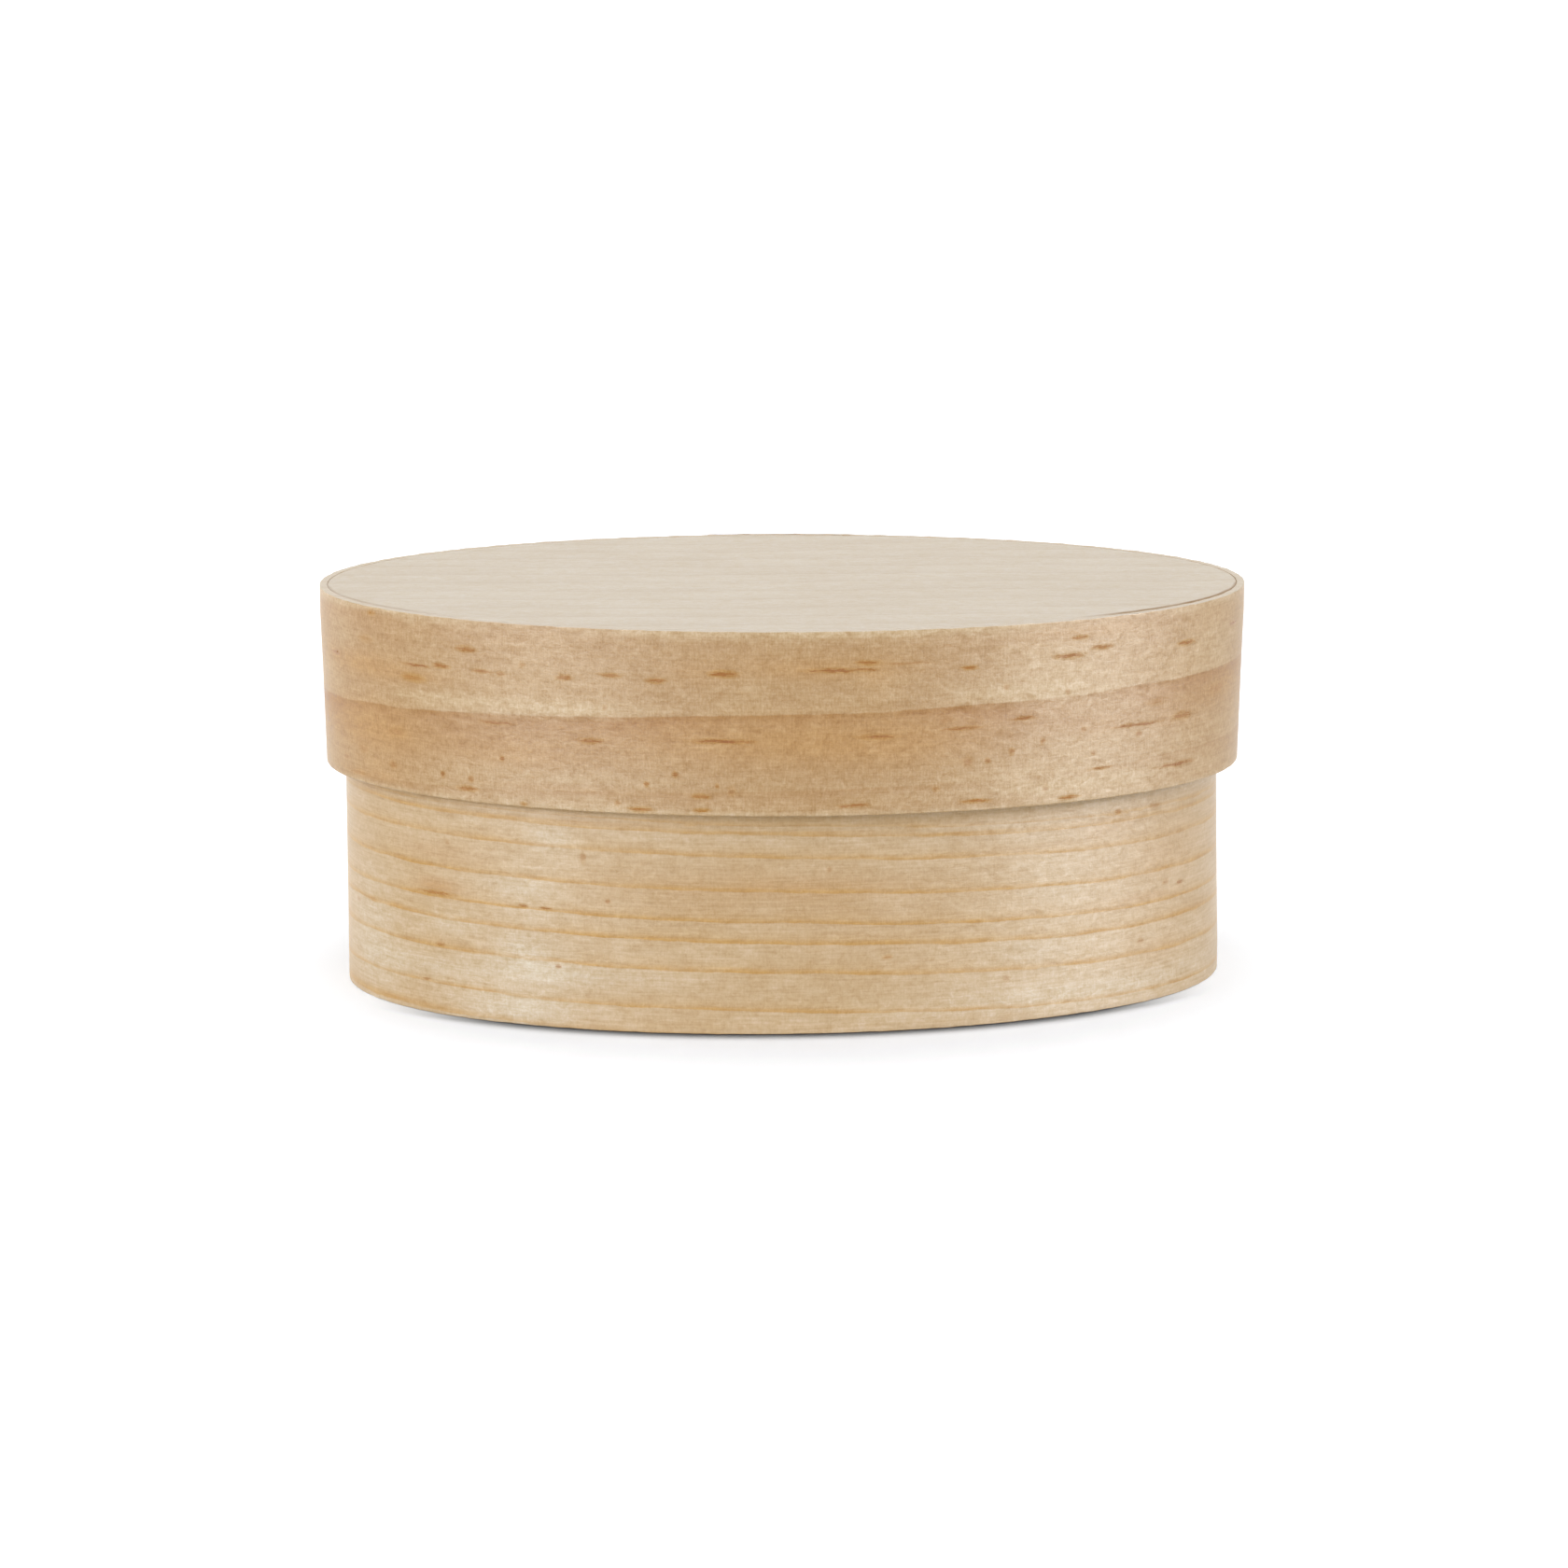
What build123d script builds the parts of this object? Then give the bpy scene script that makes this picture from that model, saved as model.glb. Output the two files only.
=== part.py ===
from build123d import *
import os
from math import asin, cos, degrees, radians, sin

# Oval box of bent wooden strips: a base with a bottom board, and a loose lid that fits over it.
# The origin is on the floor under the middle of the base, +X along the oval, +Z up.
# The photographed front faces -Y, and the strips' overlapped ends are at the back.

# Lid, in millimetres
lid_length = 120.0  # over the strip, at the lid board
lid_width = 76.0
lid_height = 23.2
lid_ends_in = 0.5  # the free lower edge is drawn in at each end
lid_sides_out = 0.2  # and bulges at each side
lid_turn = -2.9  # degrees, as the loose lid happens to sit on the base
lid_shift = -0.3  # along X, as it sits

# Base
base_height = 48.6
end_play = 2.2  # between the base's top edge and the lid strip, at each end
side_play = 1.2  # the same at each side
base_ends_in = 0.5  # the free top edge is drawn in at each end
base_sides_out = 0.6  # and bulges at each side
base_lean = -0.5  # the top edge stands this far along X from the foot

# Strips, boards and glue
strip_thickness = 1.0
board_thickness = 3.0
board_round = 0.3  # rounding of a board's outer edge
board_recess = 0.2  # the lid board's face lies this far under the rim
glue_thickness = 0.1

# Overlapped ends of the strips
base_lap = 18.0
lid_lap = 18.0
lap_tip = 0.35  # thickness that the skived ends run out to
lap_ramp = 4.0  # length over which the outer end climbs over the inner tip

# Heights
lid_board_bottom = base_height
lid_board_top = lid_board_bottom + board_thickness
lid_top = lid_board_top + board_recess
lid_bottom = lid_top - lid_height

# Inner outlines of the strips, as half length and half width
lid_inner = (lid_length / 2 - strip_thickness, lid_width / 2 - strip_thickness)
lid_inner_free = (lid_inner[0] - lid_ends_in, lid_inner[1] + lid_sides_out)
base_inner_free = (
    lid_inner[0] - end_play - strip_thickness,
    lid_inner[1] - side_play - strip_thickness,
)
base_inner = (base_inner_free[0] + base_ends_in, base_inner_free[1] - base_sides_out)


def level(height, shift=0.0, turn=0.0):
    """A plane at this height, shifted along X and turned about Z by degrees."""
    along = (cos(radians(turn)), sin(radians(turn)), 0)
    return Plane(origin=(shift, 0, height), x_dir=along, z_dir=(0, 0, 1))


def lid_level(height):
    return level(height, lid_shift, lid_turn)


# A strip keeps its section over the height of its board, and leans from there to its free edge
base_levels = [
    (level(0), base_inner),
    (level(board_thickness), base_inner),
    (level(base_height, base_lean), base_inner_free),
]
lid_levels = [
    (lid_level(lid_bottom), lid_inner_free),
    (lid_level(lid_board_bottom), lid_inner),
    (lid_level(lid_top), lid_inner),
]


def on_oval(inner, angle, outward):
    """The point at this angle of the oval that lies outward of the strip's inner oval."""
    return (inner[0] + outward) * cos(radians(angle)), (inner[1] + outward) * sin(radians(angle))


def angle_from_back(inner, length):
    """Degrees of the oval that a short length takes up at the middle of the back."""
    return degrees(asin(length / inner[0]))


def across(inner, start, end):
    """An arc along the oval from one (angle, outward) pair to another, rising evenly."""
    middle = ((start[0] + end[0]) / 2, (start[1] + end[1]) / 2)
    return ThreePointArc(*[on_oval(inner, *place) for place in (start, middle, end)])


def oval_arc(inner, outward, start_angle, end_angle):
    """The long way round the oval, counterclockwise from one angle to another."""
    radii = (inner[0] + outward, inner[1] + outward)
    return EllipticalCenterArc((0, 0), *radii, start_angle, arc_size=end_angle - start_angle)


def strip_section(plane, inner, lap):
    """Plan of a strip: once round the oval, with its outer end climbing over its inner end."""
    half_lap = angle_from_back(inner, lap / 2)
    outer_tip = 90 + half_lap
    inner_tip = 90 - half_lap
    ramp_foot = inner_tip - angle_from_back(inner, lap_ramp)
    outside = strip_thickness + glue_thickness + lap_tip
    with BuildSketch(plane) as section:
        with BuildLine():
            oval_arc(inner, 0, inner_tip, ramp_foot + 360)
            across(inner, (ramp_foot, 0), (inner_tip, lap_tip + glue_thickness))
            across(
                inner,
                (inner_tip, lap_tip + glue_thickness),
                (outer_tip, strip_thickness + glue_thickness),
            )
            Line(
                on_oval(inner, outer_tip, strip_thickness + glue_thickness),
                on_oval(inner, outer_tip, outside),
            )
            across(inner, (outer_tip, outside), (inner_tip, outside))
            across(inner, (inner_tip, outside), (ramp_foot, strip_thickness))
            oval_arc(inner, strip_thickness, outer_tip, ramp_foot + 360)
            across(inner, (outer_tip, strip_thickness), (inner_tip, lap_tip))
            Line(on_oval(inner, inner_tip, lap_tip), on_oval(inner, inner_tip, 0))
        make_face()
    return section.sketch


def lap_glue_section(plane, inner, lap):
    """Plan of the glue between a strip's two skived ends."""
    half_lap = angle_from_back(inner, lap / 2)
    thick_end = (90 + half_lap, strip_thickness)
    thin_end = (90 - half_lap, lap_tip)
    thick_end_out = (thick_end[0], thick_end[1] + glue_thickness)
    thin_end_out = (thin_end[0], thin_end[1] + glue_thickness)
    with BuildSketch(plane) as section:
        with BuildLine():
            across(inner, thin_end, thick_end)
            Line(on_oval(inner, *thick_end), on_oval(inner, *thick_end_out))
            across(inner, thick_end_out, thin_end_out)
            Line(on_oval(inner, *thin_end_out), on_oval(inner, *thin_end))
        make_face()
    return section.sketch


# Base
with BuildPart() as base_band:
    loft([strip_section(plane, inner, base_lap) for plane, inner in base_levels], ruled=True)
base_band.part.label = "base_band"

with BuildPart() as base_lap_glue:
    loft([lap_glue_section(plane, inner, base_lap) for plane, inner in base_levels], ruled=True)
base_lap_glue.part.label = "base_lap_glue"

with BuildPart() as base_board:
    with BuildSketch(level(0)):
        Ellipse(base_inner[0] - glue_thickness, base_inner[1] - glue_thickness)
    extrude(amount=board_thickness)
    fillet(base_board.edges().sort_by(Axis.Z)[0], board_round)
base_board.part.label = "base_board"

with BuildPart() as base_rim_glue:
    with BuildSketch(level(board_round)):
        Ellipse(*base_inner)
        Ellipse(
            base_inner[0] - glue_thickness, base_inner[1] - glue_thickness, mode=Mode.SUBTRACT
        )
    extrude(amount=board_thickness - board_round)
base_rim_glue.part.label = "base_rim_glue"

# Lid
with BuildPart() as lid_band:
    loft([strip_section(plane, inner, lid_lap) for plane, inner in lid_levels], ruled=True)
lid_band.part.label = "lid_band"

with BuildPart() as lid_lap_glue:
    loft([lap_glue_section(plane, inner, lid_lap) for plane, inner in lid_levels], ruled=True)
lid_lap_glue.part.label = "lid_lap_glue"

with BuildPart() as lid_board:
    with BuildSketch(lid_level(lid_board_bottom)):
        Ellipse(lid_inner[0] - glue_thickness, lid_inner[1] - glue_thickness)
    extrude(amount=board_thickness)
    fillet(lid_board.edges().sort_by(Axis.Z)[-1], board_round)
lid_board.part.label = "lid_board"

with BuildPart() as lid_rim_glue:
    with BuildSketch(lid_level(lid_board_bottom)):
        Ellipse(*lid_inner)
        Ellipse(lid_inner[0] - glue_thickness, lid_inner[1] - glue_thickness, mode=Mode.SUBTRACT)
    extrude(amount=board_thickness - board_round)
lid_rim_glue.part.label = "lid_rim_glue"

os.makedirs("parts", exist_ok=True)
for piece in (
    base_board,
    base_band,
    base_rim_glue,
    base_lap_glue,
    lid_board,
    lid_band,
    lid_rim_glue,
    lid_lap_glue,
):
    export_step(piece.part, f"parts/{piece.part.label}.step")
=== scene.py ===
import math
import bpy
import numpy as np
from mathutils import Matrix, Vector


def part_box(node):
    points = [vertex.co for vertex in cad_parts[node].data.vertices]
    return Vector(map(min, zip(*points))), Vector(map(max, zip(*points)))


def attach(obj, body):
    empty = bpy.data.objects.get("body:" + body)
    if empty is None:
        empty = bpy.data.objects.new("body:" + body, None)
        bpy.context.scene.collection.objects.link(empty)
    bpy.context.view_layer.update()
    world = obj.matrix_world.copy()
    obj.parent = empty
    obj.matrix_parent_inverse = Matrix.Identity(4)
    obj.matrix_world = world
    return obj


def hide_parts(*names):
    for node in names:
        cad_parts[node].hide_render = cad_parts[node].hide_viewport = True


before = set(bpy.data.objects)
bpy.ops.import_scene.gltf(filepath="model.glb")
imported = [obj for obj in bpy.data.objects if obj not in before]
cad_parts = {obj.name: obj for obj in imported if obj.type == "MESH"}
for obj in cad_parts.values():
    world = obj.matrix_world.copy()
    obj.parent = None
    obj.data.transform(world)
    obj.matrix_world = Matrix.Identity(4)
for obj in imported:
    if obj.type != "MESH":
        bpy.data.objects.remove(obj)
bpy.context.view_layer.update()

mm = 0.001
sharpAngle = math.radians(40)  # faces that meet at more than this have a sharp edge


# Small helpers


def eased(x, low, high):  # 0 up to low, 1 from high, and t * t * (3 - 2 t) between
    t = np.clip((x - low) / (high - low), 0, 1)
    return t * t * (3 - 2 * t)


def wander(x, lengths, seed):  # mean of sines of these wavelengths with seeded phases, in -1 to 1
    phases = np.random.default_rng(seed).uniform(0, 2 * np.pi, len(lengths))
    return sum(np.sin(2 * np.pi * x / n + p) for n, p in zip(lengths, phases)) / len(lengths)


def gridFaces(rows, columns):
    # quads between neighbouring rows of points that are numbered row by row, each row a closed ring
    i = np.arange(rows - 1)[:, None]
    j = np.arange(columns)[None, :]
    nextI, nextJ = i + 1, (j + 1) % columns
    corners = (i * columns + j, nextI * columns + j, nextI * columns + nextJ, i * columns + nextJ)
    return np.stack(np.broadcast_arrays(*corners), -1).reshape(-1, 4)


def roundedEdges(low, high, below, above, rows):
    # heights and insets of a quarter-round lower edge and upper edge: radius * (1 - cos or sin)
    quarter = np.radians(np.linspace(0, 90, rows))
    bySine, byCosine = 1 - np.sin(quarter), 1 - np.cos(quarter)
    return (low + below * byCosine, below * bySine), (high - above * bySine, above * byCosine)


def turned(x, y, degrees):  # a point or a surface turned about Z
    c, s = math.cos(math.radians(degrees)), math.sin(math.radians(degrees))
    return x * c - y * s, x * s + y * c


def srgb(red, green, blue):  # a colour from 0-255 as the shader's linear values
    c = np.array([red, green, blue]) / 255
    linear = np.where(c <= 0.04045, c / 12.92, ((c + 0.055) / 1.055) ** 2.4)
    return (*linear.tolist(), 1.0)


def newPiece(name, points, quads, triangles, pointData, faceData):
    # points in millimetres, faces as rows of point numbers, and values by name for points and faces
    mesh = bpy.data.meshes.new(name)
    loops = np.concatenate([quads.ravel(), triangles.ravel()])
    sizes = np.concatenate([np.full(len(quads), 4), np.full(len(triangles), 3)])
    starts = np.concatenate([[0], np.cumsum(sizes)[:-1]])
    mesh.vertices.add(len(points))
    mesh.vertices.foreach_set("co", (points * mm).astype(np.float32).ravel())
    mesh.loops.add(len(loops))
    mesh.loops.foreach_set("vertex_index", loops.astype(np.int32))
    mesh.polygons.add(len(sizes))
    mesh.polygons.foreach_set("loop_start", starts.astype(np.int32))
    mesh.polygons.foreach_set("use_smooth", np.ones(len(sizes), bool))
    for domain, data in (("POINT", pointData), ("FACE", faceData)):
        for key, values in data.items():
            kind, field = ("FLOAT", "value") if values.ndim == 1 else ("FLOAT_VECTOR", "vector")
            layer = mesh.attributes.new(key, kind, domain)
            layer.data.foreach_set(field, values.astype(np.float32).ravel())
    mesh.update(calc_edges=True)
    mesh.validate()
    mesh.set_sharp_from_angle(angle=sharpAngle)
    piece = bpy.data.objects.new(name, mesh)
    bpy.context.scene.collection.objects.link(piece)
    return piece


# Sizes that the pieces take from the CAD, in millimetres


def cadHeights(node):  # lowest and highest point of a CAD node
    return [round(corner.z / mm, 2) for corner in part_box(node)]


def cadOval(node, degrees):
    # half length a and half width b of an oval node that is turned by some degrees, from the box
    # round it, whose half sides are hypot(a cos, b sin) and hypot(a sin, b cos). They are rounded
    # to 0.1, because the CAD's mesh falls a few thousandths short of its oval.
    c, s = math.cos(math.radians(degrees)), math.sin(math.radians(degrees))
    low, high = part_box(node)
    x, y = (high.x - low.x) / 2 / mm, (high.y - low.y) / 2 / mm
    pairs = ((x, y), (y, x))
    return [round(math.sqrt(((u * c) ** 2 - (v * s) ** 2) / (c * c - s * s)), 1) for u, v in pairs]


lidTurn = -2.9  # degrees, as the lid happens to sit on the base
lidShift = -0.3  # along X, as it sits
glueLine = 0.1  # between a board and its strip
lidFoot, lidRim = cadHeights("lid_band")
baseFoot, baseRim = cadHeights("base_band")
lidBoardFoot = cadHeights("lid_board")[0]
baseBoardTop = cadHeights("base_board")[1]
lidHeight = round(lidRim - lidFoot, 2)
baseHeight = round(baseRim - baseFoot, 2)
lidInner = [half + glueLine for half in cadOval("lid_board", lidTurn)]
baseInner = [half + glueLine for half in cadOval("base_board", 0)]


# The bent strips. A strip goes once round its oval, and its outer end climbs over its inner end.

lap = {  # of both strips, in millimetres
    "length": 18.0,
    "tip": 0.35,  # thickness that the skived ends run out to
    "glue": 0.1,
    "ramp": 4.0,  # length over which the outer end climbs over the inner tip
    "thickness": 1.0,
    "cornerRows": 6,
}
lidStrip = {
    "node": "lid_band",
    "heights": (lidFoot, lidBoardFoot, lidRim),  # free edge, board's underside, rim
    "halfLengths": (lidInner[0] - 0.5, lidInner[0], lidInner[0]),  # of the inner oval there
    "halfWidths": (lidInner[1] + 0.2, lidInner[1], lidInner[1]),
    "shifts": (lidShift, lidShift, lidShift),  # along X
    "turn": lidTurn,
    "stations": 700,  # along the strip
    "rowHeight": 0.5,
    "outerRounding": (0.2, 0.04),  # of the lower and the upper edge
    "innerRounding": (0.12, 0.03),
    "lift": 0.0,
    "footHighlight": 0.1,  # share of the painted highlight along the foot
    "rimWear": 0.09,  # most that the rim is worn down by
    "straight": (lidBoardFoot, lidRim),  # held by its board over these heights
    "seed": 11,
}
baseStrip = {
    "node": "base_band",
    "heights": (baseFoot, baseBoardTop, baseRim),  # foot, board's face, free rim
    "halfLengths": (baseInner[0], baseInner[0], baseInner[0] - 0.5),
    "halfWidths": (baseInner[1], baseInner[1], baseInner[1] + 0.6),
    "shifts": (0.0, 0.0, -0.5),
    "turn": 0.0,
    "stations": 620,
    "rowHeight": 0.85,
    "outerRounding": (0.16, 0.2),
    "innerRounding": (0.08, 0.14),
    "lift": 0.1,  # of the foot from the floor, over the middle of the front
    # share of the painted highlight along the foot
    "footHighlight": 0.15,
    "rimWear": 0.05,
    "straight": (baseFoot, baseBoardTop),
    "seed": 23,
}
wear = {  # of both strips, in millimetres
    "trim": 0.02,  # the outer faces stay this far inside the CAD shape
    "bend": 1.5,  # half of the height over which a lean begins
    "bendSteps": 9,  # levels whose mean makes that bend
    "sway": 0.07,  # of the faces, inwards, where no board holds them
    "swayReach": 9.0,  # distance from the board over which the sway grows
    "swayWaves": (61, 37, 23, 14),
    "swaySlant": 0.35,  # how far the waves run along the strip for each mm up
    "liftSpan": (2, 52, 34),  # middle of the lifted foot, and how far off the lift ends and is whole
    "ragged": 0.03,  # half of the ragged foot's depth
    "raggedWaves": (7.3, 4.1, 2.9),
    "footReach": 1.6,  # height over which the lift and the ragged foot fade
    "rimWaves": (6.1, 3.7, 2.3),
    "rimReach": 0.6,  # depth over which the rim's wear fades
    "flatTo": 0.06,  # a last row this close under the rim's rounding keeps the face's shading flat
    "mostRounding": 0.45,  # of the strip's thickness
    "footHighlightBand": 0.35,  # height over which the foot's painted highlight fades
    "wholeShare": 0.5,  # of the rim's rounding, up to which its end grain comes in
}
arcSpan = (-20, 560, 0.05)  # degrees over which lengths along a strip are summed, and their step


def ovalAt(strip, z):  # half length, half width and shift at height z, eased where the lean begins
    offsets = wear["bend"] * np.linspace(-1, 1, wear["bendSteps"])
    steps = [np.interp(z + offset, strip["heights"], (0, 1, 2)) for offset in offsets]
    level = sum(steps) / len(steps)
    held = (z >= strip["straight"][0]) & (z <= strip["straight"][1])
    level = np.where(held, np.interp(z, strip["heights"], (0, 1, 2)), level)
    return [np.interp(level, (0, 1, 2), strip[k]) for k in ("halfLengths", "halfWidths", "shifts")]


def stripAngles(strip):
    # degrees of the oval, 90 at the back, where the strip begins, laps, climbs over itself and ends
    half = math.degrees(math.asin(lap["length"] / 2 / strip["halfLengths"][0]))
    rise = math.degrees(math.asin(lap["ramp"] / strip["halfLengths"][0]))
    return 90 - half, 90 + half, 450 - half - rise, 450 - half, 450 + half


def stripFaces(strip, angle):  # how far out of the inner oval the two faces lie at an angle
    start, lapEnd, rampFoot, rampTop, end = stripAngles(strip)
    under, over = lap["tip"] + lap["glue"], lap["thickness"] + lap["glue"]
    rise = eased(angle, rampFoot, rampTop) * under
    overTip = np.clip((angle - rampTop) / (end - rampTop), 0, 1)
    inner = rise + overTip * (over - under)
    skive = np.clip((angle - start) / (lapEnd - start), 0, 1)
    outer = lap["tip"] + skive * (lap["thickness"] - lap["tip"]) + rise
    return inner, outer


def sectionRows(strip, rounding):  # heights and insets up one side, with rounded corners
    low, high = strip["heights"][0], strip["heights"][-1]
    below, above = rounding
    foot, rim = roundedEdges(low, high, below, above, lap["cornerRows"])
    count = int((high - low) / strip["rowHeight"])
    face = np.linspace(low + below, high - above, count)[1:-1]
    face = np.append(face, high - above - wear["flatTo"])
    return np.concatenate([foot[0], face, rim[0]]), np.concatenate([foot[1], 0 * face, rim[1]])


def arcLength(strip, angles):
    # mm along the strip from the middle of the front, as the sum of short chords
    fine = np.radians(np.arange(*arcSpan))
    a, b = (strip[k][1] + lap["thickness"] / 2 for k in ("halfLengths", "halfWidths"))
    steps = np.hypot(np.diff(a * np.cos(fine)), np.diff(b * np.sin(fine)))
    total = np.concatenate([[0], np.cumsum(steps)])
    return np.interp(np.radians(angles), fine, total) - np.interp(np.radians(270), fine, total)


def cloudedToneAndLight(grain, clouds):
    # sum of strength * exp(-(along / long)^2 - (up / tall)^2) over the clouds, on the outer face alone
    along, up, depth = grain.T
    toneAndLight = sum(
        strength * np.exp(-(((along - x) / long) ** 2) - ((up - y) / tall) ** 2)
        for x, y, long, tall, strength in clouds
    )
    return toneAndLight * (depth > lap["thickness"] / 2)


def buildStrip(name, strip, ringPlace, streaks, clouds):
    # rows are stations along the strip, and columns go up its outer face and down its inner one
    start, lapEnd, _, rampTop, end = stripAngles(strip)
    angles = np.linspace(start, end, strip["stations"])
    outerHeights, outerInsets = sectionRows(strip, strip["outerRounding"])
    innerHeights, innerInsets = sectionRows(strip, strip["innerRounding"])
    m = len(outerHeights)
    inner, outer = stripFaces(strip, angles)
    along = arcLength(strip, angles)
    drawn = np.concatenate([outerHeights, innerHeights[::-1]])[None, :]
    side = np.repeat((1.0, 0.0), m)[None, :]
    inset = np.concatenate([-outerInsets, innerInsets[::-1]])[None, :]
    # a corner takes less than half of the strip's thickness, and none where glue joins the ends
    thick = (outer - inner)[:, None]
    most = thick * wear["mostRounding"]
    joined = np.where(side > 0.5, (angles < lapEnd)[:, None], (angles > rampTop)[:, None])
    inset = np.where(joined, 0, np.clip(inset, -most, most))
    out = inner[:, None] + side * thick + inset - wear["trim"] * side * ~joined
    # the faces sway in by a few hundredths of a millimetre where no board holds them
    low, high = strip["heights"][0], strip["heights"][-1]
    bottom, top = strip["straight"]
    half = (top - bottom) / 2
    away = eased(np.abs(drawn - (bottom + top) / 2), half, half + wear["swayReach"])
    swayed = wander(along[:, None] + wear["swaySlant"] * drawn, wear["swayWaves"], strip["seed"])
    out = out + wear["sway"] * away * (swayed - 1) / 2
    a, b, shift = ovalAt(strip, drawn)
    # a ragged foot, lifted a little along the front
    middle, *liftReach = wear["liftSpan"]
    lifted = strip["lift"] * eased(np.abs(along - middle), *liftReach)
    lifted = lifted + wear["ragged"] * (1 + wander(along, wear["raggedWaves"], strip["seed"] + 1))
    z = drawn + lifted[:, None] * np.clip(1 - (drawn - low) / wear["footReach"], 0, 1)
    # and an uneven rim
    worn = strip["rimWear"] * (1 + wander(along, wear["rimWaves"], strip["seed"] + 2)) / 2
    z = z - worn[:, None] * eased(z, high - wear["rimReach"], high)
    theta = np.radians(angles)[:, None]
    x, y = turned((a + out) * np.cos(theta), (b + out) * np.sin(theta), strip["turn"])
    points = np.stack([x + shift, y, z], -1)
    rows, columns = points.shape[:2]
    quads = gridFaces(rows, columns)
    # each end is closed by quads between the two faces
    k = np.arange(m - 1)
    cap = np.stack([k, k + 1, columns - 2 - k, columns - 1 - k], -1)
    quads = np.concatenate([quads, cap[:, ::-1] + (rows - 1) * columns, cap])
    # wood space: mm along the strip, mm up it, mm out through it
    depth = side * lap["thickness"] + inset
    grain = np.stack(np.broadcast_arrays(along[:, None], z - low, depth), -1).reshape(-1, 3)
    # end grain shows on the rim, and a faint painted highlight lies along the foot
    foot, rim = strip["outerRounding"]
    footHighlightMask = strip["footHighlight"] * eased(drawn, low + foot + wear["footHighlightBand"], low + foot)
    atRim = eased(drawn, high - rim, high - rim * wear["wholeShare"])
    edge = np.maximum(atRim, footHighlightMask) + 0 * points[..., 0]
    # clouds of the wood's own tone and of painted light and shade
    toneAndLight = cloudedToneAndLight(grain, clouds)
    pointData = {"grain": grain, "ring": ringPlace(grain), "edge": edge.ravel(), "toneAndLight": toneAndLight}
    faceData = nearestStreak(grain[quads].mean(1), streaks)
    noTriangles = np.zeros((0, 3), int)
    piece = newPiece(name, points.reshape(-1, 3), quads, noTriangles, pointData, faceData)
    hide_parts(strip["node"])
    return piece


# Resin streaks. Each face of a strip carries the values of the streak nearest to it,
# and the material draws that streak, so its outline is as fine as the render.

scattered = {  # seeded streaks, in millimetres
    "reach": 165.0,  # along the strip, each side of the front's middle, and past its ends
    "spare": 3,  # times as many are drawn, because those on the clear stretch drop out
    "margin": 0.6,  # from a strip's edges
    "smallShare": 0.45,
    "smallLength": (0.6, 1.3),
    "smallBreadth": (0.5, 0.8),
    "length": (2.0, 5.5),
    "breadth": (0.3, 0.65),
    "strength": (0.25, 0.85),
    "upWeight": 1.6,  # how many mm along a strip a gap of 1 mm up or down counts for
}


def nearestStreak(centres, streaks):
    # a face's nearest streak by the distance outside the streak's own half length and half breadth
    outside = centres[:, 2] > lap["thickness"] / 2
    place = np.zeros((len(centres), 3))
    look = np.zeros((len(centres), 3))
    for chosen, table in ((outside, streaks["outer"]), (~outside, streaks["inner"])):
        c = centres[chosen]
        gapX = np.maximum(np.abs(c[:, None, 0] - table[None, :, 0]) - table[None, :, 2] / 2, 0)
        gapZ = np.maximum(np.abs(c[:, None, 1] - table[None, :, 1]) - table[None, :, 3] / 2, 0)
        best = np.hypot(gapX, gapZ * scattered["upWeight"]).argmin(1)
        place[chosen] = table[best][:, (0, 1, 2)] * (1, 1, 0.5)  # along, up, half length
        look[chosen] = table[best][:, (3, 4, 5)] * (0.5, 1, 1)  # half breadth, strength, hue
    return {"streakPlace": place, "streakLook": look}


def scatteredStreaks(seed, height, count, clear, scale=1.0):
    # over a strip of this height, kept off the clear stretch each side of the front's middle
    rng = np.random.default_rng(seed)
    along = rng.uniform(-scattered["reach"], scattered["reach"], count * scattered["spare"])
    along = along[np.abs(along) > clear][:count]
    n = len(along)
    small = rng.random(n) < scattered["smallShare"]
    length, breadth = (
        np.where(small, rng.uniform(*scattered[little], n), rng.uniform(*scattered[usual], n))
        for little, usual in (("smallLength", "length"), ("smallBreadth", "breadth"))
    )
    strength = rng.uniform(*scattered["strength"], n)
    up = rng.uniform(scattered["margin"], height - scattered["margin"], n)
    return np.stack([along, up, length * scale, breadth, strength, rng.random(n)], -1)


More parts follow.
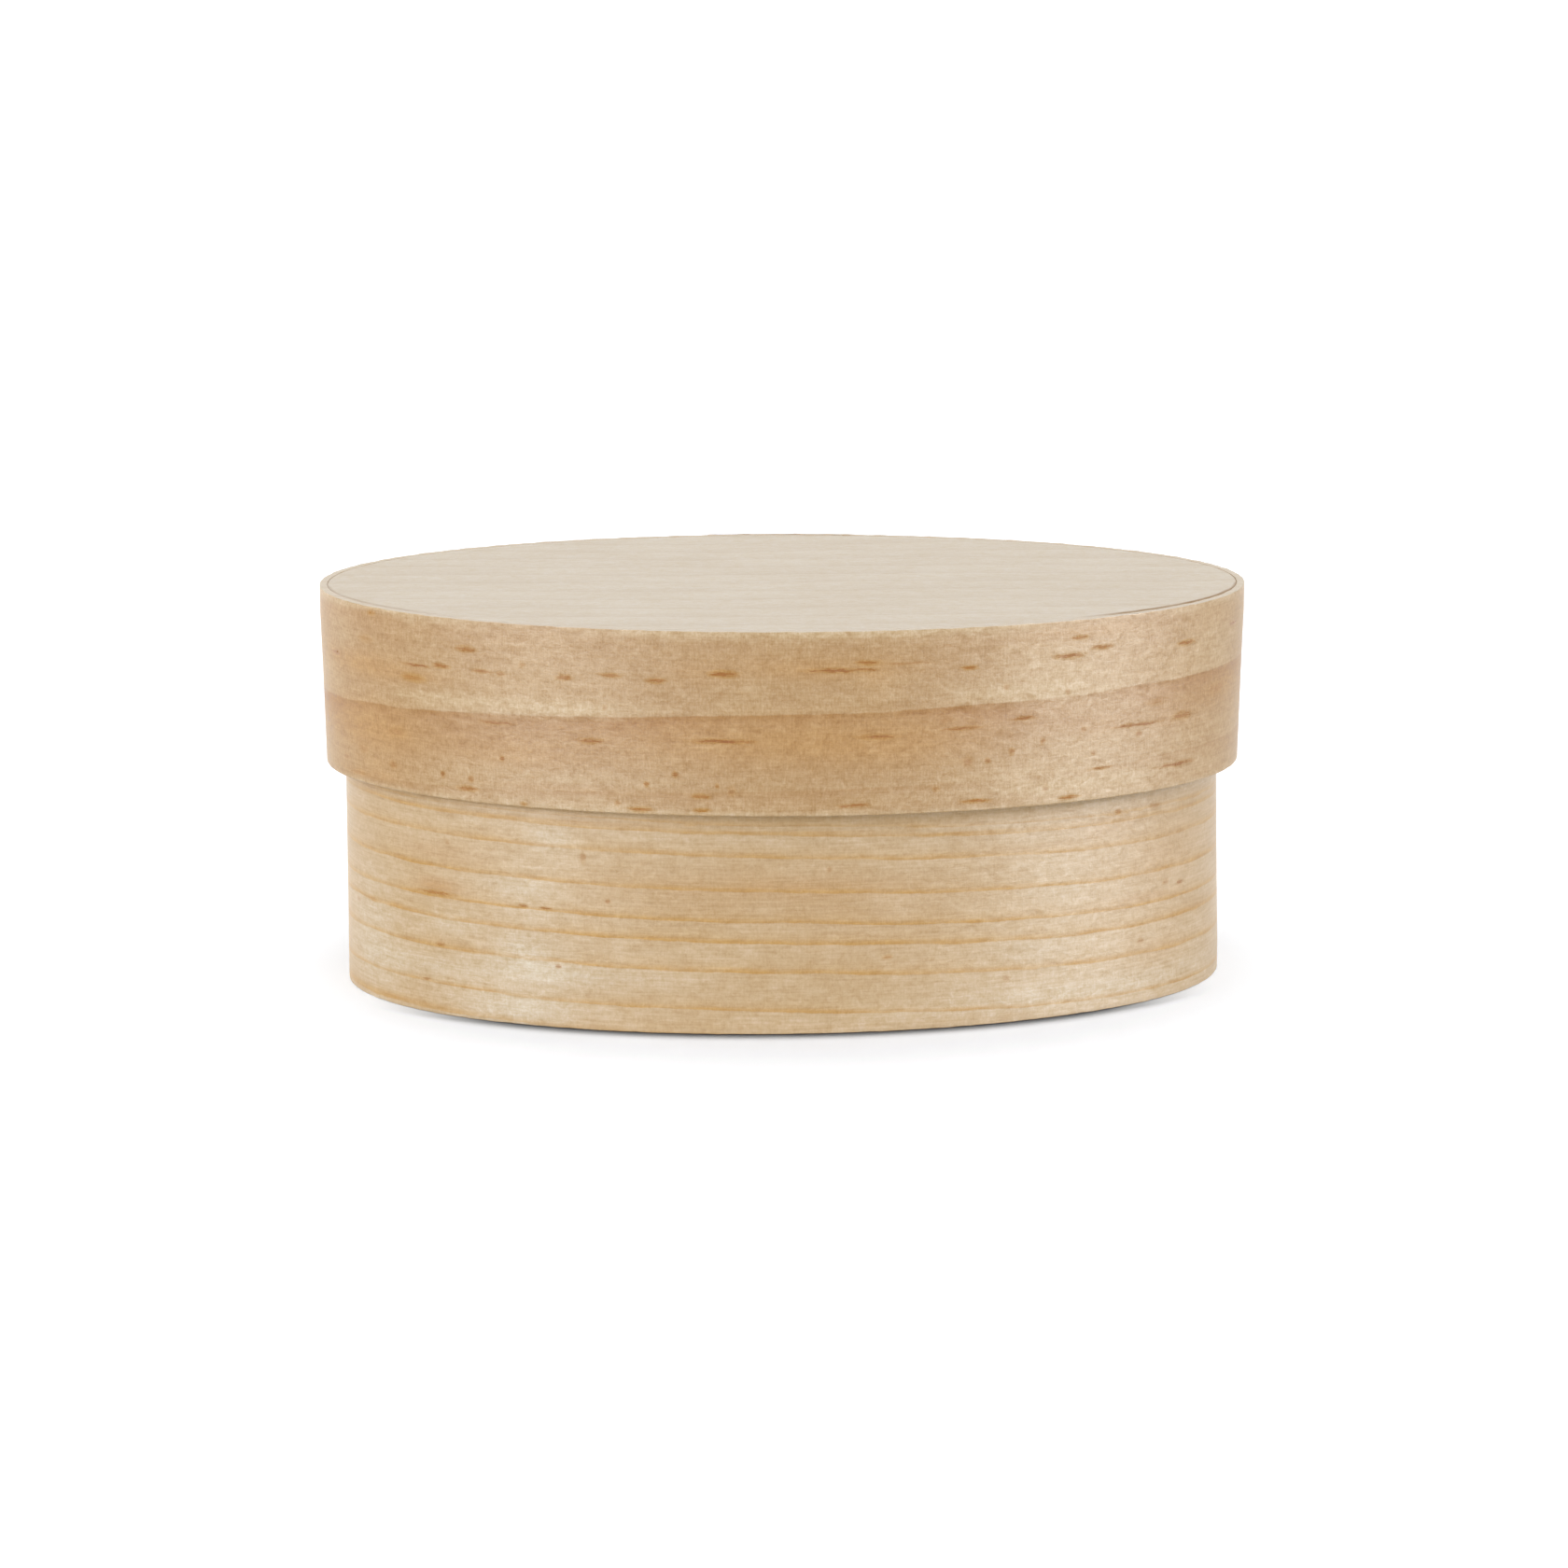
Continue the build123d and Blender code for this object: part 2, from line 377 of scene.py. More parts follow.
# along, up from the free edge, length, breadth, strength, and hue from red-brown 0 to orange 1
lidStreaks = [
    (-57, 22.4, 1.5, 0.5, 0.5, 1), (-41.5, 19.45, 3.1, 0.6, 0.65, 0.5),
    (-49.25, 16.65, 4.6, 0.35, 0.8, 0.2), (-45.25, 16.95, 2.7, 0.5, 0.8, 0.4),
    (-39.3, 16.8, 3, 0.4, 0.6, 0.4), (-36.6, 16.7, 1.3, 0.4, 0.5, 0.4), (-28.2, 16.8, 2.3, 0.55, 0.65, 0.5),
    (-66.1, 15.95, 3, 0.7, 0.55, 0.3), (-49.75, 14.95, 3.8, 0.8, 0.65, 0.9),
    (-37.5, 10.45, 4.6, 0.28, 0.7, 0.1), (-25, 9, 3.2, 0.5, 0.75, 0.3), (-36.8, 6, 0.7, 0.45, 0.7, 0.3),
    (-53.8, 3.3, 1.4, 0.7, 0.5, 0.5), (-59.6, 4.5, 2, 0.9, 0.25, 0.6), (-45.5, 3.15, 0.8, 0.6, 0.75, 0.3),
    (-41.3, 2.95, 0.8, 0.6, 0.6, 0.5), (-41.8, 1.7, 3.1, 0.5, 0.7, 0.5), (-60.9, 1.2, 4, 0.5, 0.4, 0.6),
    (-33.9, 0.5, 1, 0.4, 0.6, 1), (-53, 7.6, 3, 0.9, 0.25, 0.3), (-58.3, 18.9, 3, 0.7, 0.25, 0.9),
    (-22.2, 17.4, 3, 0.42, 0.6, 0.6), (-16.6, 16.9, 2.7, 0.48, 0.75, 0.4),
    (-8.25, 17.9, 3.6, 0.65, 0.95, 0.5), (5, 18.3, 6.4, 0.45, 0.85, 0.2), (9.5, 19.2, 3, 0.42, 0.85, 0.5),
    (9.2, 18.4, 2.6, 0.35, 0.7, 0.3), (14.4, 19, 6, 0.22, 0.35, 0.3), (22.25, 18.1, 2.2, 0.42, 0.85, 0.6),
    (-8.3, 9.45, 7.4, 0.42, 0.9, 0.15), (10.5, 9.9, 4.8, 0.42, 0.7, 0.2), (21.4, 10.5, 4.8, 0.34, 0.7, 0.3),
    (-14.3, 5.2, 0.8, 0.6, 0.75, 0.3), (-17.9, 3.9, 0.7, 0.5, 0.7, 0.6), (-9.1, 3.9, 0.6, 0.4, 0.6, 0.5),
    (-7.3, 3.2, 1, 0.9, 0.4, 0.4), (-11.1, 2.5, 2.3, 0.5, 0.7, 0.6), (-11, 0.75, 2.1, 0.4, 0.8, 0.9),
    (-18.7, 0.65, 3.1, 0.5, 0.85, 0.7), (-21.6, 1.3, 0.8, 0.5, 0.5, 0.5), (7.8, 1.35, 4, 0.34, 0.75, 0.3),
    (22.1, 6.3, 1.4, 0.9, 0.35, 0.3), (24.75, 6.3, 0.8, 0.6, 0.6, 0.3), (18.2, 3.1, 1, 0.5, 0.4, 0.6),
    (23.3, 1.25, 3.8, 0.38, 0.9, 0.6), (37, 20.9, 2.4, 0.38, 0.75, 0.6),
    (40.25, 19.45, 3.1, 0.45, 0.7, 0.5), (35.6, 18.7, 4.2, 0.5, 0.8, 0.35),
    (54.25, 18.45, 3.2, 0.5, 0.85, 0.5), (66.2, 19.2, 3, 0.6, 0.6, 0.3), (29.5, 11.3, 3, 0.36, 0.85, 0.3),
    (49.2, 11.5, 3.6, 0.6, 0.3, 0.5), (46.2, 8.95, 7.6, 0.34, 0.7, 0.1), (54, 9.1, 3.6, 0.7, 0.6, 0.4),
    (61.8, 11.5, 4.6, 1.1, 0.3, 0.5), (46.4, 7.7, 1, 0.5, 0.5, 0.2), (32.15, 8.2, 0.8, 0.6, 0.55, 0.3),
    (28, 7.2, 0.8, 0.7, 0.6, 0.3), (39.4, 6.1, 0.8, 0.5, 0.5, 0.3), (40.4, 4, 3.3, 0.34, 0.75, 0.4),
    (53.25, 2.95, 7, 0.42, 0.7, 0.2), (36, 0.75, 3, 0.4, 0.85, 0.7), (32.6, 2.2, 1, 0.7, 0.35, 0.3),
    (35.5, 14.2, 0.7, 0.5, 0.4, 0.4), (37.9, 9.2, 0.8, 0.5, 0.35, 0.3), (27, 15.45, 0.9, 0.5, 0.35, 0.5),
    (-64, 2.7, 1.4, 0.7, 0.3, 0.5), (-33.7, 18.1, 0.9, 0.6, 0.3, 0.8), (-23, 13.3, 0.7, 0.5, 0.35, 0.4),
]
baseStreaks = [
    (-48.6, 15.85, 6.8, 0.4, 0.75, 0.8), (-35.8, 15.6, 1.3, 0.4, 0.7, 0.6),
    (-32.7, 15.45, 1.6, 0.35, 0.8, 0.4), (-24.7, 16.9, 0.8, 0.45, 0.5, 0.3),
    (-27.8, 22.4, 0.8, 1.2, 0.35, 0.5), (-47.9, 9.2, 1.4, 0.45, 0.6, 0.5),
    (-31.2, 8.1, 0.9, 0.45, 0.6, 0.3), (-50.2, 4.4, 1.4, 0.35, 0.55, 0.4),
    (-46.6, 22.6, 0.7, 0.5, 0.3, 0.4), (10.2, 9.7, 1.4, 0.45, 0.5, 0.7), (42.4, 25.7, 1.1, 0.5, 0.6, 0.7),
    (48.8, 25.6, 2, 0.6, 0.35, 0.5), (50.9, 15.3, 1.2, 0.5, 0.35, 0.5), (54, 14.7, 1.4, 0.45, 0.6, 0.4),
    (46.1, 8.2, 1.2, 0.5, 0.35, 0.4), (25.7, 5.9, 1, 0.8, 0.3, 0.5), (-65, 12.1, 1.2, 0.5, 0.4, 0.5),
    (3, 21.2, 0.7, 0.5, 0.3, 0.4),
]

# Growth rings: where a ring's dark line lies at the middle of the front, and each ring's strength.
# On the base they are heights from the foot. On the lid they are depths from the rim.
# The drift is how far the rings have risen (base) or sunk (lid) at each 20 mm along the front.
lidRings = {
    "edges": (-24.0, -12.0, -1.5, 10.6, 20.05, 30.5, 42.0),
    "strengths": (0.8, 0.5, 0.35, 1.0, 0.3, 0.8, 0.6),
    "tilt": 1.2,  # mm that a ring rises for each mm into the wood
    "slow": 0.8,  # mm of slow sway behind the front
    "drift": (3.2, 2.1, 1.3, 0.55, 0, -0.47, -1.0, -1.43, -1.85),
}
baseRings = {
    "edges": (
        *(-5.0, -0.3, 2.95, 8.0, 11.85, 14.35, 18.35, 22.85, 25.85),
        *(26.7, 29.6, 33.1, 37.4, 41.3, 45.0, 49.4, 54.0),
    ),
    "strengths": (
        *(0.8, 0.7, 0.85, 0.9, 1.0, 1.0, 0.9, 0.65, 0.75),
        *(0.4, 0.7, 0.9, 0.7, 1.0, 0.8, 0.9, 0.8),
    ),
    "tilt": 0.8,
    "slow": 0.5,
    "drift": (1.28, 1.18, 0.88, 0.46, 0, -0.76, -1.38, -1.43, -1.34),
}
driftPlaces = np.arange(-80, 81, 20)
ringSway = {"waves": (97, 61, 43), "from": (78, 105), "seed": 5}  # mm along the strip
ringHold = (-0.02, 0.8)  # parts of a ring over which its width and strength hold


def ringValues(level, rings):
    # a ring's number and part, its width in mm, and its strength
    edges = np.array(rings["edges"])
    k = np.arange(len(edges))
    number = np.interp(level, edges, k)
    widths = np.append(np.diff(edges), edges[-1] - edges[-2])
    knots = (k[:, None] + ringHold).ravel()
    width = np.interp(number, knots, np.repeat(widths, 2))
    strength = np.interp(number, knots, np.repeat(rings["strengths"], 2))
    return np.stack([number, width, strength], -1)


def drifted(along, rings):  # a ring's rise or fall as listed along the front, and by slow waves behind it
    front = np.interp(along, driftPlaces, rings["drift"])
    behind = eased(np.abs(along), *ringSway["from"])
    return front + rings["slow"] * behind * wander(along, ringSway["waves"], ringSway["seed"])


def baseRingPlace(grain):
    # height from the foot, less the drift and the rings' tilt through the wood
    along, up, depth = grain.T
    level = up - drifted(along, baseRings) - baseRings["tilt"] * (lap["thickness"] - depth)
    return ringValues(level, baseRings)


def lidRingPlace(grain):
    # the same from the rim down, so the dark side of a ring's line lies below it
    along, up, depth = grain.T
    level = lidHeight - up - drifted(along, lidRings) + lidRings["tilt"] * (lap["thickness"] - depth)
    return ringValues(level, lidRings)


# soft clouds, darker or (below 0) paler: along, up, half length, half height, strength. Some are the wood's
# own tone, others are painted light and shade.
# on the lid, pale ones paint the sheen under the lamps, the lit band under the rim, a highlight along the
# lower edge and the white reflection at the left end; a few dark ones paint out sheen
lidToneAndLightClouds = (
    (-59, 15.6, 9, 1.6, 0.85), (59, 11.2, 7.5, 1.5, 0.6), (53, 9, 4, 0.9, 0.4), (-4, 9.4, 16, 2.8, 0.7),
    (-57, 7.6, 9, 3.2, 1), (4, 18.6, 11, 1.5, 0.8), (-59, 1.4, 7, 0.5, 0.6), (-57, 22.2, 4, 0.6, 0.5),
    (-49, 15.2, 4.5, 0.8, 0.5), (14, 9.3, 11, 3, 0.65), (-24, 2.9, 16, 0.35, 0.4), (64, 12.3, 3, 0.7, 0.5),
    (-36, 6.8, 8, 2.2, 0.6), (40, 9.5, 5, 1.2, 0.5), (-12, 18, 4, 1.6, 0.35), (11, 17, 2.5, 3, 0.3),
    (-30, 1, 18, 0.9, -0.4), (38, 2.2, 20, 1.6, -0.55), (28, 14.5, 12, 1.4, -0.3),
    (-28, 12.8, 13, 1.2, -0.6), (-29, 4.2, 11, 1.3, -0.35), (5, 9.5, 18, 3, 0.25), (38, 21.6, 8, 0.8, 0.45),
    (-57, 2.6, 6, 1.2, 0.4), (-44, 12.6, 10, 1.2, -0.4), (-52.5, 7.8, 1.6, 0.7, 0.6), (62, 17, 5, 3, -0.3),
    (-64, 18.5, 4, 2.5, -0.3), (0, 23.1, 110, 0.9, -0.75), (-31, 23.1, 10, 0.9, 0.5),
    (43, 23.1, 11, 0.9, 0.6), (0, 0.1, 110, 0.45, -0.5), (38, 8, 13, 6, -0.3), (33, 17, 9, 4, -0.3),
)
# on the base, pale ones paint the sheen under the lamps, the white reflection at the left end, light from
# the floor near the foot, and light into the shade under the lid
baseToneAndLightClouds = (
    (-48.2, 16.8, 4, 1, 1), (-62, 27.6, 5, 0.6, 0.5), (47, 13.6, 7, 0.8, 0.4), (-47.7, 9.5, 1.8, 0.4, 0.3),
    (-26, 27, 14, 0.5, 0.3), (55, 11, 7, 0.7, 0.25), (2, 19.2, 12, 1, 0.25), (-60, 0.9, 10, 0.4, 0.5),
    (30, 22.6, 10, 0.5, 0.2), (-8, 18.5, 20, 4, 0.35), (-48, 21.2, 7, 1.6, 0.45), (41, 23.8, 4, 1, 0.4),
    (-37, 2, 9, 2.4, -0.75), (36, 2.6, 26, 1.6, -0.55), (-36, 9.8, 4, 1.6, -0.5), (-52, 6, 9, 1.4, -0.4),
    (33, 17, 7, 2, -0.2), (-32, 24.5, 3, 1.6, -0.5), (-33, 7.2, 12, 1.6, -0.7), (-37, 18.2, 5, 1.2, -0.4),
    (-46, 12.6, 5, 1.6, -0.4), (52, 19, 9, 5, 0.35), (-61, 8, 6, 9, -0.5), (38, 5.5, 22, 2.6, -0.2),
    (30, 9.5, 7, 2, -0.35), (8, 14, 13, 6, 0.2), (-35, 12.5, 4.5, 9, -0.25), (50, 6.5, 6, 2, 0.3),
    (43, 28.3, 19, 0.7, -0.8),
)


# The oval boards


lidBoard = {
    "node": "lid_board",
    "halves": [half - 0.015 for half in lidInner],  # length and width, close up to the strip
    "heights": (lidBoardFoot, lidRim - 0.06),  # nearly flush with the rim
    "turn": lidTurn,
    "shift": lidShift,
    "roundTop": 0.12,
    "roundFoot": 0.06,
    "seed": 31,
}
baseBoard = {
    "node": "base_board",
    "halves": [half - glueLine for half in baseInner],  # as in the CAD
    "heights": (baseFoot, baseBoardTop),
    "turn": 0.0,
    "shift": 0.0,
    "roundTop": 0.06,
    "roundFoot": 0.3,
    "seed": 37,
}
boardMesh = {
    "columns": 288,  # round the oval
    "disc": (0.94, 30, 0.9),  # outermost share, rows, and the power that spaces them
    "rim": (0.954, 0.997, 9),  # shares between which the last rows are even, and their number
    "cornerRows": 5,
    "sideRows": 2,
}
boardSag = {
    "depth": 0.04,
    "slant": 0.3,  # how far the waves run along the board for each mm across it
    "waves": (53, 29),
    "shares": (0.99, 0.9),  # of the oval, where the sag starts and is whole
}
boardRings = {
    "pitch": 0.16,  # rings for each mm across the board
    "tilt": 0.05,  # and for each mm up through it
    "sway": 0.22,  # of a ring, as the ripple is
    "swayWaves": (170, 90, 61),
    "ripple": 0.09,
    "rippleSlant": 2,
    "rippleWaves": (40, 27),
    "first": 8,  # the number of the ring at the middle
    "width": 6,  # mm
    "strength": 0.8,
}
boardSeamDark = {  # where the board is darkened next to the rim, in millimetres
    "right": (34, 44),  # it starts and is whole this far from the middle
    "left": (40, 50),
    "leftShare": 0.4,
    "uneven": 0.2,
    "waves": (9, 5, 3),
    "seed": 8,
    "reach": (1.5, 0.9),  # in from the edge, where it starts and is whole
    "depth": (0.2, 0.1),  # under the top
    "roundShare": 0.7,  # on the rounded edge
}


def buildBoard(name, board):
    # a profile carried round the oval: middle of the underside, out, round the edge, back over the top
    low, high = board["heights"]
    foot, top = board["roundFoot"], board["roundTop"]
    halfLength, halfWidth = board["halves"]
    under, over = roundedEdges(low, high, foot, top, boardMesh["cornerRows"])
    reach, count, power = boardMesh["disc"]
    disc = np.append(np.linspace(0, reach, count)[1:] ** power, np.linspace(*boardMesh["rim"]))
    side = np.linspace(low + foot, high - top, boardMesh["sideRows"] + 2)[1:-1]
    flat = np.zeros(len(disc))
    z = np.concatenate([flat + low, under[0], side, over[0], flat + high])
    inset = np.concatenate([flat, under[1], 0 * side, over[1], flat])
    share = np.concatenate([disc, np.ones(len(z) - 2 * len(disc)), disc[::-1]])
    theta = np.radians(np.linspace(0, 360, boardMesh["columns"], endpoint=False))[None, :]
    x = (halfLength * share - inset)[:, None] * np.cos(theta)
    y = (halfWidth * share - inset)[:, None] * np.sin(theta)
    z = z[:, None] + 0 * x
    # the top sags by a few hundredths of a millimetre, away from the rim
    waves = wander(x + boardSag["slant"] * y, boardSag["waves"], board["seed"])
    dip = boardSag["depth"] * (waves - 1) / 2
    inside = eased(np.hypot(x / halfLength, y / halfWidth), *boardSag["shares"])
    z = z + np.where(z > high - 1e-6, dip * inside, 0)
    grain = np.stack([x, y, z - low], -1).reshape(-1, 3)
    middles = np.array([[0, 0, low], [0, 0, high + dip.min() / 2]])
    turnedX, turnedY = turned(x, y, board["turn"])
    points = np.stack([turnedX + board["shift"], turnedY, z], -1).reshape(-1, 3)
    points = np.concatenate([points, middles + [board["shift"], 0, 0]])
    rows, columns = x.shape
    quads = gridFaces(rows, columns)[:, ::-1]
    # a fan of triangles closes each middle
    j = np.arange(columns)
    after = (j + 1) % columns
    middle, lastRow = np.full(columns, rows * columns), (rows - 1) * columns
    fans = np.stack([middle, after, j], -1), np.stack([middle + 1, lastRow + j, lastRow + after], -1)
    grain = np.concatenate([grain, middles - [0, 0, low]])
    along, across, up = grain.T
    seed = board["seed"]
    level = across * boardRings["pitch"] + boardRings["tilt"] * up
    level = level + boardRings["sway"] * wander(along, boardRings["swayWaves"], seed + 1)
    slanted = along + boardRings["rippleSlant"] * across
    level = level + boardRings["ripple"] * wander(slanted, boardRings["rippleWaves"], seed + 2)
    width, strength = (0 * level + boardRings[k] for k in ("width", "strength"))
    rings = np.stack([level + boardRings["first"], width, strength], -1)
    # the board is darkened just behind the rim, along the front of the right end and less at the left
    behind = y + halfWidth * np.sqrt(np.clip(1 - (x / halfLength) ** 2, 0, 1))
    left = boardSeamDark["leftShare"] * eased(-x, *boardSeamDark["left"])
    uneven = boardSeamDark["uneven"] * (1 - wander(x, boardSeamDark["waves"], boardSeamDark["seed"]))
    ends = np.maximum(eased(x, *boardSeamDark["right"]), left) * (1 - uneven)
    start, whole = (high - depth for depth in boardSeamDark["depth"])
    seamDark = eased(behind, *boardSeamDark["reach"]) * eased(z, start, whole) * ends
    # and the board's rounded edge at both ends
    seamDark = np.maximum(seamDark, boardSeamDark["roundShare"] * ends * (share[:, None] == 1))
    edge = np.append(seamDark, [0, 0])
    pointData = {"grain": grain, "ring": rings, "edge": edge, "toneAndLight": 0 * level}
    nothing = np.zeros((len(quads) + 2 * columns, 3))
    faceData = {"streakPlace": nothing, "streakLook": nothing + [1, 0, 0]}
    piece = newPiece(name, points, quads, np.concatenate(fans), pointData, faceData)
    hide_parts(board["node"])
    return piece


# Shader effects shared by the woods


class Wiring:
    # short calls for adding nodes to one tree
    def __init__(self, tree):
        self.tree = tree

    def fill(self, node, values):  # each input with a link from a socket, or with a constant
        for key, value in values.items():
            if isinstance(value, bpy.types.NodeSocket):
                self.tree.links.new(value, node.inputs[key])
            else:
                node.inputs[key].default_value = value

    def add(self, kind, values=None, **settings):
        node = self.tree.nodes.new("ShaderNode" + kind)
        for key, value in settings.items():
            setattr(node, key, value)
        self.fill(node, values or {})
        return node

    def math(self, operation, *values, clamp=False):
        node = self.add("Math", dict(enumerate(values)), operation=operation, use_clamp=clamp)
        return node.outputs[0]

    def plus(self, a, b):
        return self.math("ADD", a, b)

    def minus(self, a, b):
        return self.math("SUBTRACT", a, b)

    def times(self, a, b, clamp=False):
        return self.math("MULTIPLY", a, b, clamp=clamp)

    def over(self, a, b, clamp=False):
        return self.math("DIVIDE", a, b, clamp=clamp)

    def scaled(self, vector, scales):
        return self.add("VectorMath", {0: vector, 1: scales}, operation="MULTIPLY").outputs[0]

    def carried(self, name, kind="Vector"):  # what the mesh carries under this name
        return self.add("Attribute", attribute_name=name).outputs[kind]

    def parts(self, vector):  # its X, Y and Z
        return list(self.add("SeparateXYZ", {0: vector}).outputs)

    def noise(self, place, scale, detail, rough=0.5, distortion=0.0):
        values = {"Vector": place, "Scale": scale, "Detail": detail}
        values |= {"Roughness": rough, "Distortion": distortion}
        return self.add("TexNoise", values).outputs["Fac"]

    def between(self, value, low, high, toLow=0.0, toHigh=1.0, smooth=True):
        kind = "SMOOTHSTEP" if smooth else "LINEAR"
        values = {"Value": value, "From Min": low, "From Max": high, "To Min": toLow, "To Max": toHigh}
        return self.add("MapRange", values, interpolation_type=kind).outputs["Result"]

    def placed(self, group, values):
        return self.add("Group", values, node_tree=group).outputs

    def mix(self, share, a, b):
        node = self.add("Mix", data_type="RGBA", clamp_factor=True)
        self.fill(node, {0: share, 6: a, 7: b})  # its colour sockets come after those of other kinds
        return node.outputs[2]

    def bump(self, height, strength, distance, shader):
        values = {"Height": height, "Strength": strength, "Distance": distance}
        self.fill(shader, {"Normal": self.add("Bump", values).outputs["Normal"]})

    def given(self, *names):  # a group's own inputs
        outputs = self.tree.nodes.new("NodeGroupInput").outputs
        return [outputs[name] for name in names]

    def send(self, results):  # to a group's outputs
        self.fill(self.tree.nodes.new("NodeGroupOutput"), results)


def effect(name, inputs, outputs):  # inputs by name are vectors (None) or numbers, outputs are numbers
    group = bpy.data.node_groups.new(name, "ShaderNodeTree")
    for label, default in inputs.items():
        kind = "NodeSocketVector" if default is None else "NodeSocketFloat"
        socket = group.interface.new_socket(label, in_out="INPUT", socket_type=kind)
        if default is not None:
            socket.default_value = default
    for label in outputs:
        group.interface.new_socket(label, in_out="OUTPUT", socket_type="NodeSocketFloat")
    return group, Wiring(group)


def newMaterial(name):
    material = bpy.data.materials.new(name)
    material.use_nodes = True
    return material, Wiring(material.node_tree)


# Noises in wood: scale for each mm along, up and out through it, then detail, roughness and distortion
ringNoises = {
    "slow": ((0.12, 0.5, 0.5), 3.0, 0.6),  # moves a line up and down
    "quick": ((2.2, 1.2, 1.0), 2.0, 0.6),  # frays it
    "broken": ((0.16, 0.3, 0.3), 4.0, 0.65),  # weakens it in places
    "patchy": ((0.06, 0.25, 0.25), 3.0, 0.6),  # and the late wood beside it
}
streakNoises = {
    "bend": ((0.7, 1.5, 0.5), 3.0, 0.6),
    "thread": ((0.7, 10.0, 3.0), 2.0, 0.6),
}
fibreNoises = {
    "Thread": ((0.16, 3.4, 3.0), 4.0, 0.65),  # long, along the grain
    "Stroke": ((4.2, 0.9, 1.0), 3.0, 0.6, 0.3),  # short, across it
    "Cloud": ((0.07, 0.17, 0.2), 3.0, 0.55),
    "Fleck": ((1.5, 1.9, 2.0), 3.0, 0.7, 0.4),
    "Dust": ((4.2, 4.6, 4.6), 2.0, 0.7),
    "Mottle": ((0.5, 0.9, 0.9), 5.0, 0.7, 0.6),
}
ringShape = {
    "slow": 0.7,  # mm that the noises move a line by
    "quick": 0.12,
    "sharp": 0.22,  # mm over which a line begins
    "fadePower": 1.7,
    "broken": (0.32, 0.66, 0.45, 1.2),  # from these noise values to these shares of the line
    "patchy": (0.3, 0.7, 0.7, 1.2),
}
streakShape = {
    "bend": 0.5,  # mm that the noise moves a streak up or down by
    "least": 0.01,  # mm added to its half sizes, so that none is 0
    "endPower": 2.2,
    "torn": 3.6,  # how much the threads take off or add
    "core": (0.1, 0.85),  # where the core begins and is whole
    "glowLong": 0.5,  # shares of the core's own terms
    "glowBroad": 0.22,
}
fibreSpan = (0.28, 0.72)  # noise values that become -1 and 1


def woodNoise(w, grain, noise):  # noise on the wood's own millimetres
    scales, *values = noise
    return w.noise(w.scaled(grain, scales), 1.0, *values)


def makeRings():
    # distance above a ring's line in mm: width * fract(number), made a little uneven by noise.
    # The line fades within Line mm, and the dark late wood within Fade mm, from the line away.
    inputs = {"Ring": None, "Grain": None, "Line": 0.4, "Fade": 1.8}
    group, w = effect("growthRings", inputs, ("Line", "Shade"))
    ring, grain, lineReach, fadeReach = w.given(*inputs)
    number, width, strength = w.parts(ring)
    slow, quick, broken, patchy = (woodNoise(w, grain, noise) for noise in ringNoises.values())
    slow = w.times(w.minus(slow, 0.5), ringShape["slow"])
    quick = w.times(w.minus(quick, 0.5), ringShape["quick"])
    number = w.plus(number, w.over(w.plus(slow, quick), width))
    beyond = w.times(w.math("FRACT", number), width)
    before = w.minus(width, beyond)
    sharp = w.between(before, 0.0, ringShape["sharp"], 1.0, 0.0)
    line = w.over(w.minus(lineReach, beyond), lineReach, clamp=True)
    line = w.math("MAXIMUM", line, sharp)
    shade = w.over(w.minus(fadeReach, beyond), fadeReach, clamp=True)
    shade = w.math("MAXIMUM", w.math("POWER", shade, ringShape["fadePower"]), sharp)
    line = w.times(w.times(line, strength), w.between(broken, *ringShape["broken"]))
    shade = w.times(w.times(shade, strength), w.between(patchy, *ringShape["patchy"]))
    w.send({"Line": line, "Shade": shade})
    return group


def makeStreak():
    # inside an oval: 1 - |along / half|^2.2 - (up / half)^2, torn into threads by noise along the grain.
    # The glow is the same oval, wider and soft.
    inputs = {"Grain": None, "Place": None, "Look": None}
    group, w = effect("resinStreak", inputs, ("Core", "Glow", "Hue"))
    grain, place, look = w.given(*inputs)
    along, up, _ = w.parts(grain)
    middleAlong, middleUp, halfLength = w.parts(place)
    halfBreadth, strength, hue = w.parts(look)
    bend, thread = (w.minus(woodNoise(w, grain, noise), 0.5) for noise in streakNoises.values())
    along = w.over(w.minus(along, middleAlong), w.plus(halfLength, streakShape["least"]))
    up = w.minus(w.minus(up, middleUp), w.times(bend, streakShape["bend"]))
    up = w.over(up, w.plus(halfBreadth, streakShape["least"]))
    across = w.times(up, up)
    ends = w.math("POWER", w.math("ABSOLUTE", along), streakShape["endPower"])
    core = w.minus(1.0, w.plus(ends, across))
    core = w.plus(core, w.times(thread, streakShape["torn"]))
    core = w.between(core, *streakShape["core"])
    wide = w.times(w.times(along, along), streakShape["glowLong"])
    glow = w.minus(1.0, w.plus(wide, w.times(across, streakShape["glowBroad"])))
    glow = w.between(w.plus(glow, thread), 0.0, 1.0)
    cut = {"Core": w.times(core, strength, clamp=True), "Glow": w.times(glow, strength, clamp=True)}
    w.send({**cut, "Hue": hue})
    return group


def makeFibre():
    # noises, each stretched evenly so that its usual span becomes -1 to 1: long threads along the
    # grain, short strokes across it, clouds, flecks, fine dust and mottling
    group, w = effect("rawFibre", {"Grain": None}, fibreNoises)
    grain = w.given("Grain")[0]
    noises = {name: woodNoise(w, grain, noise) for name, noise in fibreNoises.items()}
    w.send({k: w.between(value, *fibreSpan, -1.0, 1.0, False) for k, value in noises.items()})
    return group


growthRings, resinStreak, rawFibre = makeRings(), makeStreak(), makeFibre()
print("shared effects made: rings, resin streaks, fibre")


